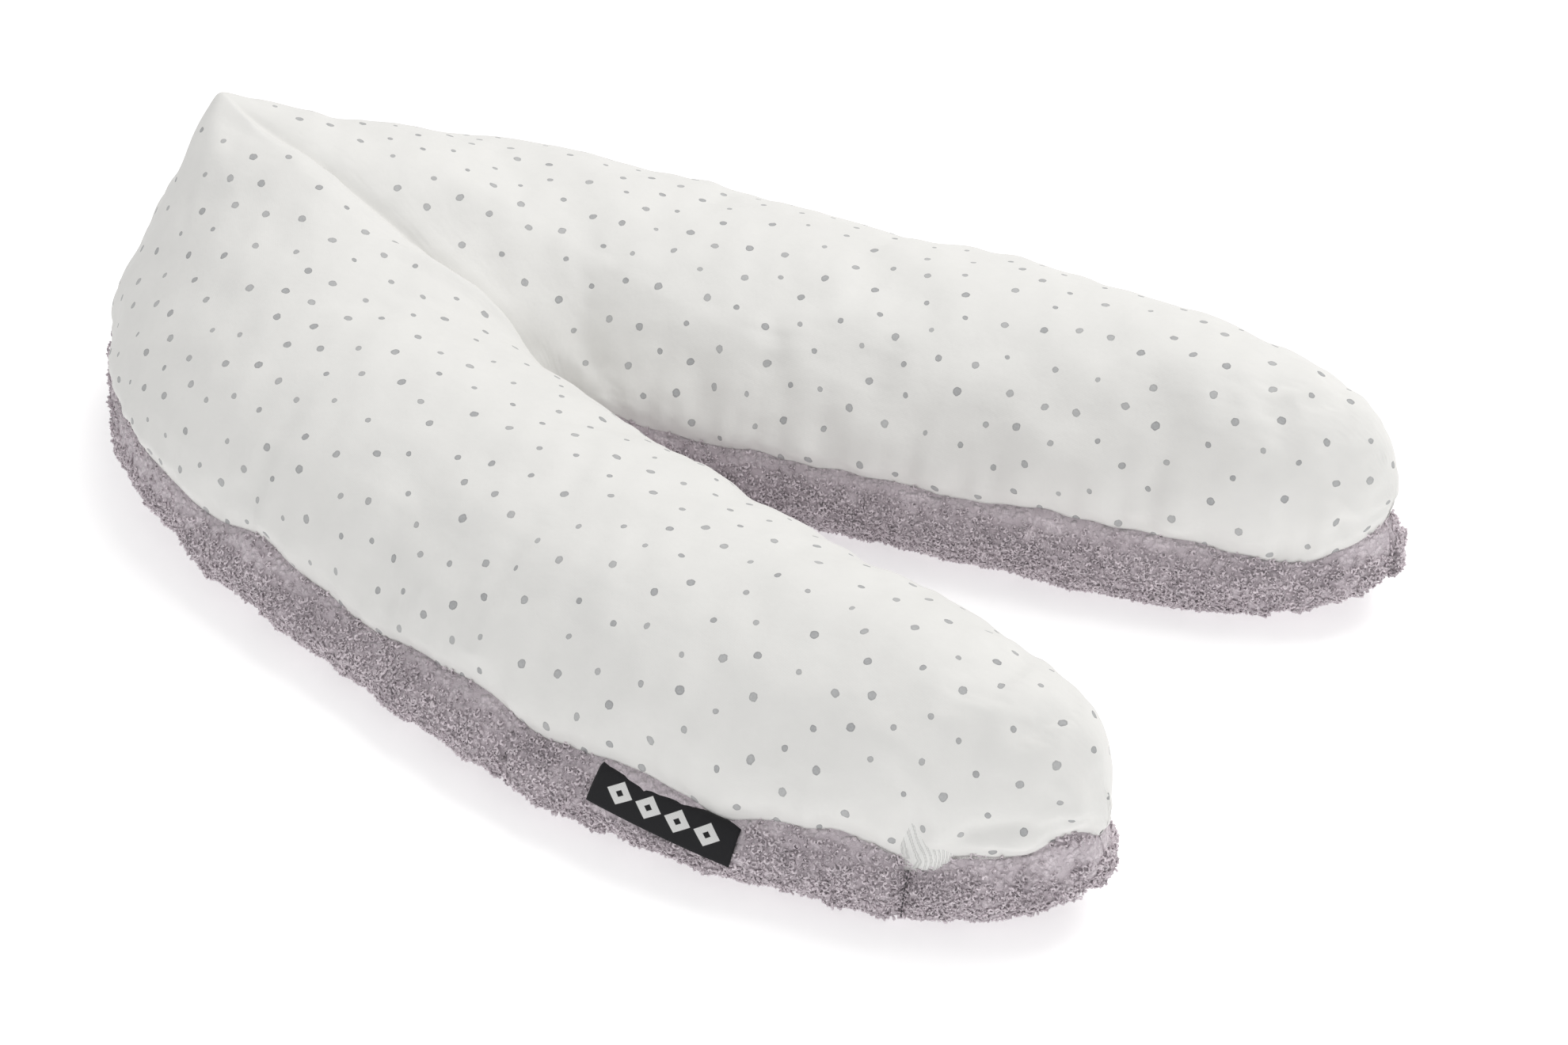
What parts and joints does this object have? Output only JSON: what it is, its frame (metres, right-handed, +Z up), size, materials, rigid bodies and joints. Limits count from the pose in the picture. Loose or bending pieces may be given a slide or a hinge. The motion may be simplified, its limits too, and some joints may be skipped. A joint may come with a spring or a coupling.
{
  "type": "nursing pillow",
  "caption": "Soft crescent nursing pillow folded into a V, with a dotted cotton top, a fleece base, a zipped removable cover and a filled inner cushion.",
  "frame": {"origin": "on the floor, at the middle of the bounding box", "axes": "+X out of the V's mouth towards the tips, +Z up; the front arm with the woven label is at -Y, the rear arm with the zip at +Y"},
  "size_m": [0.847, 0.5448, 0.2042],
  "materials": {
    "dotted_cotton": "plain woven off-white cotton with small irregular grey dots",
    "fleece": "curly teddy fleece in mauve grey",
    "overlock_thread": "overlocked fabric edge",
    "casing_cotton": "thin plain woven cotton",
    "fibre_filling": "loose fibre filling",
    "zip_tape": "woven polyester tape",
    "zip_coil": "polyester coil",
    "zip_metal": "enamelled zinc in light grey",
    "label_weave": "damask-woven black ribbon with a white motif",
    "care_satin": "white satin ribbon"
  },
  "bodies": {
    "front_arm": {"cover_top_front": "dotted_cotton", "cover_base_front": "fleece", "seam_allowance_front": "overlock_thread", "casing_top_front": "casing_cotton", "casing_base_front": "casing_cotton", "filling_front": "fibre_filling", "woven_label": "label_weave"},
    "rear_arm": {"cover_top_rear": "dotted_cotton", "cover_base_rear": "fleece", "seam_allowance_rear": "overlock_thread", "casing_top_rear": "casing_cotton", "casing_base_rear": "casing_cotton", "filling_rear": "fibre_filling", "zip_tape_upper": "zip_tape", "zip_tape_lower": "zip_tape", "zip_coil_upper": "zip_coil", "zip_coil_lower": "zip_coil", "zip_top_stop_upper": "zip_metal", "zip_top_stop_lower": "zip_metal", "zip_bottom_stop": "zip_metal", "care_label": "care_satin"},
    "slider": {"zip_slider": "zip_metal"},
    "pull_tab": {"zip_pull_tab": "zip_metal"}
  },
  "joints": [
    {"name": "fold_open", "type": "hinge", "parent": "front_arm", "child": "rear_arm", "pos_m": [-0.4235, 0, 0.062], "axis": [0, 0, 1], "range_deg": [0, 30]},
    {"name": "zip_slide", "type": "slide", "parent": "rear_arm", "child": "slider", "axis": [-0.9836, -0.1805, 0], "range_m": [0, 0.24]},
    {"name": "pull_tab_swing", "type": "hinge", "parent": "slider", "child": "pull_tab", "pos_m": [0.03715, 0.26759, 0.062], "axis": [0, 0, -1], "range_deg": [0, 170]}
  ]
}
